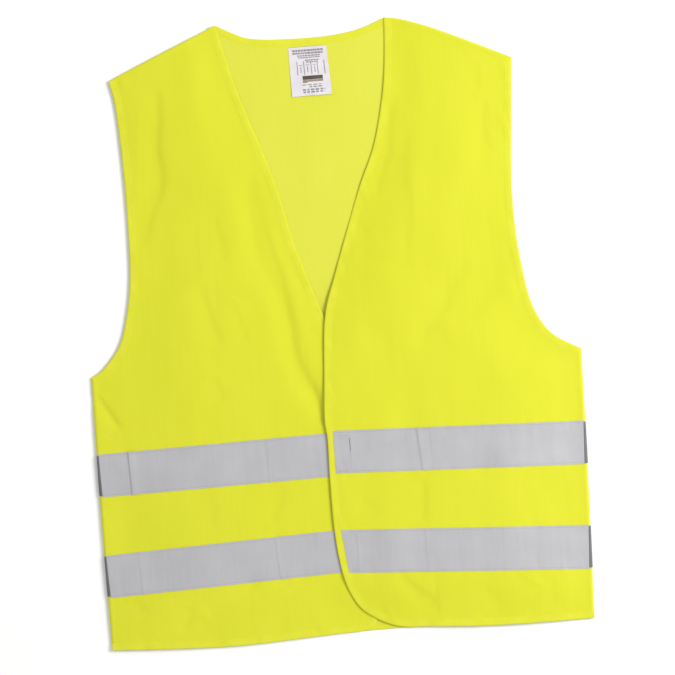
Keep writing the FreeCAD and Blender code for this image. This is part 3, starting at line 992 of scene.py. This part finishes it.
LABEL_Z = 1.75
LABEL_WIDE = 46.0
LABEL_TALL = 56.0
LABEL_CORNERS = np.array([[(-22.8, 675.7), (21.0, 675.6)], [(-22.4, 619.2), (23.7, 619.4)]])


def on_label(u, v):
    """Point of the label: u across from its middle, v down from its sewn edge."""
    across_share = (u + LABEL_WIDE / 2) / LABEL_WIDE
    down_share = v / LABEL_TALL
    sewn_edge = LABEL_CORNERS[0, 0] * (1 - across_share) + LABEL_CORNERS[0, 1] * across_share
    free_edge = LABEL_CORNERS[1, 0] * (1 - across_share) + LABEL_CORNERS[1, 1] * across_share
    point = sewn_edge * (1 - down_share) + free_edge * down_share
    curl = 0.9 * down_share ** 2 + 0.35 * math.sin(u * 0.11 + 0.6) * down_share
    return (point[0], point[1], LABEL_Z + max(curl, -0.05))


def label_box(u0, u1, v0, v1, points, faces, lift=0.17):
    """Raised print mark that follows the curve of the label."""
    start = len(points)
    us = np.linspace(u0, u1, max(2, int((u1 - u0) / 1.5) + 1))
    vs = np.linspace(v0, v1, max(2, int((v1 - v0) / 1.5) + 1))
    for v in vs:
        for u in us:
            x, y, z = on_label(u, v)
            points.append((x, y, z + lift))
    wide = len(us)
    for i in range(len(vs) - 1):
        for j in range(wide - 1):
            a = start + i * wide + j
            faces.append((a, a + wide, a + wide + 1, a + 1))


points = []
faces = []
across = np.linspace(-LABEL_WIDE / 2, LABEL_WIDE / 2, 24)
down = np.linspace(0, LABEL_TALL, 29)
for v in down:
    points += [on_label(u, v) for u in across]
for i in range(len(down) - 1):
    for j in range(len(across) - 1):
        a = i * len(across) + j
        faces.append((a, a + len(across), a + len(across) + 1, a + 1))
label = thicken(new_mesh("label_cloth", points, faces, LABEL), 0.18)
add(label, "label", "care_label", slot="label")
pale = ([], [])
dark = ([], [])
brown = ([], [])


def print_rows(rows, shortest, longest, space):
    """Rows of bars in place of small print: (distance down, height, first u, last u)."""
    for v, tall, u_first, u_last in rows:
        at = u_first
        while at < u_last:
            wide = float(RNG.uniform(shortest, longest))
            label_box(at, min(at + wide, u_last), v, v + tall, *pale)
            at += wide + space


print_rows([(3.0, 2.2, -18.5, 18.5), (6.2, 2.0, -18.5, 18.0), (9.3, 1.5, -13.0, 14.5),
            (11.6, 1.3, -12.0, 14.0), (14.6, 1.5, -4.0, 12.0), (17.0, 1.2, -3.0, 11.0)],
           1.8, 4.2, 0.55)
for u in (-14.5, -6.5, 2.0, 9.5, 17.5):
    label_box(u, u + 0.8, 16.5, 32.0, *pale)
for u in (-12.0, -4.0, 4.4):
    label_box(u, u + 4.2, 20.5, 21.1, *pale)
    label_box(u + 1.6, u + 2.4, 22.4, 29.5, *pale)
label_box(-9.0, 14.6, 33.2, 37.6, *dark)
label_box(-9.0, -3.5, 37.9, 41.2, *brown)
label_box(-3.1, 14.6, 37.9, 40.2, *brown)
print_rows([(43.0, 1.0, -10.0, 14.0), (45.2, 1.4, -2.0, 13.0), (48.2, 1.9, -10.0, 16.0),
            (51.0, 1.7, -9.5, 15.0)], 2.2, 5.0, 1.6)
for name, (points, faces), ink in (("label_print_pale", pale, PALE_INK),
                                   ("label_print_dark", dark, INK),
                                   ("label_print_brown", brown, BROWN_INK)):
    item = thicken(new_mesh(name, points, faces, ink, smooth=False), 0.08)
    add(item, "label", slot="label")
sewn = [[np.array(on_label(at, -0.3)) + (0, 0, 0.2) for at in (u, u + 2.1)]
        for u in np.arange(-21.5, 20.5, 2.8)]
item = thread_mesh("label_stitches", sewn, BAND_THREAD)
add(item, "vest_body", "label_stitching", slot="thread")

# ---------------------------------------------------------------- floor, light, camera
floor_mesh = bpy.data.meshes.new("floor")
floor_mesh.from_pydata([(-4, -4, 0), (4, -4, 0), (4, 4, 0), (-4, 4, 0)], [], [(0, 1, 2, 3)])
floor = bpy.data.objects.new("floor", floor_mesh)
paper, tree, shader = nodes_of("floor_paper", (0.9, 0.9, 0.9), 0.9)
floor_place = tree.nodes.new("ShaderNodeTexCoord").outputs["Object"]
mixed_colour(tree, shader, stretched_noise(tree, floor_place, 3, 3), (0.895, 0.895, 0.895),
             (0.905, 0.905, 0.905))
floor_mesh.materials.append(paper)
bpy.context.scene.collection.objects.link(floor)

world = bpy.data.worlds.new("studio")
world.use_nodes = True
world.node_tree.nodes["Background"].inputs["Color"].default_value = (1.0, 0.995, 0.985, 1)
world.node_tree.nodes["Background"].inputs["Strength"].default_value = 0.72
bpy.context.scene.world = world


softbox = bpy.data.lights.new("softbox", "AREA")
softbox.size = 1.3
softbox.energy = 83.0
lamp = bpy.data.objects.new("softbox", softbox)
lamp.location = (2.25, 0.58, 2.0)
lamp.rotation_euler = (-Vector(lamp.location)).to_track_quat("-Z", "Y").to_euler()
bpy.context.scene.collection.objects.link(lamp)

# The camera looks straight down, turned a little, at this point of the plan.
VIEW_X = 8.3
VIEW_Y = 339.9
VIEW_TURN = 4.4
view_width = 0.7756
distance = 3.6
camera = bpy.data.cameras.new("camera")
camera.sensor_width = 36.0
camera.lens = camera.sensor_width * distance / view_width
eye = bpy.data.objects.new("camera", camera)
eye.location = (VIEW_X / 1000.0, (VIEW_Y + PLAN_Y) / 1000.0, distance)
eye.rotation_euler = (0, 0, -math.radians(VIEW_TURN))
bpy.context.scene.collection.objects.link(eye)
bpy.context.scene.camera = eye
bpy.context.scene.view_settings.view_transform = "Standard"
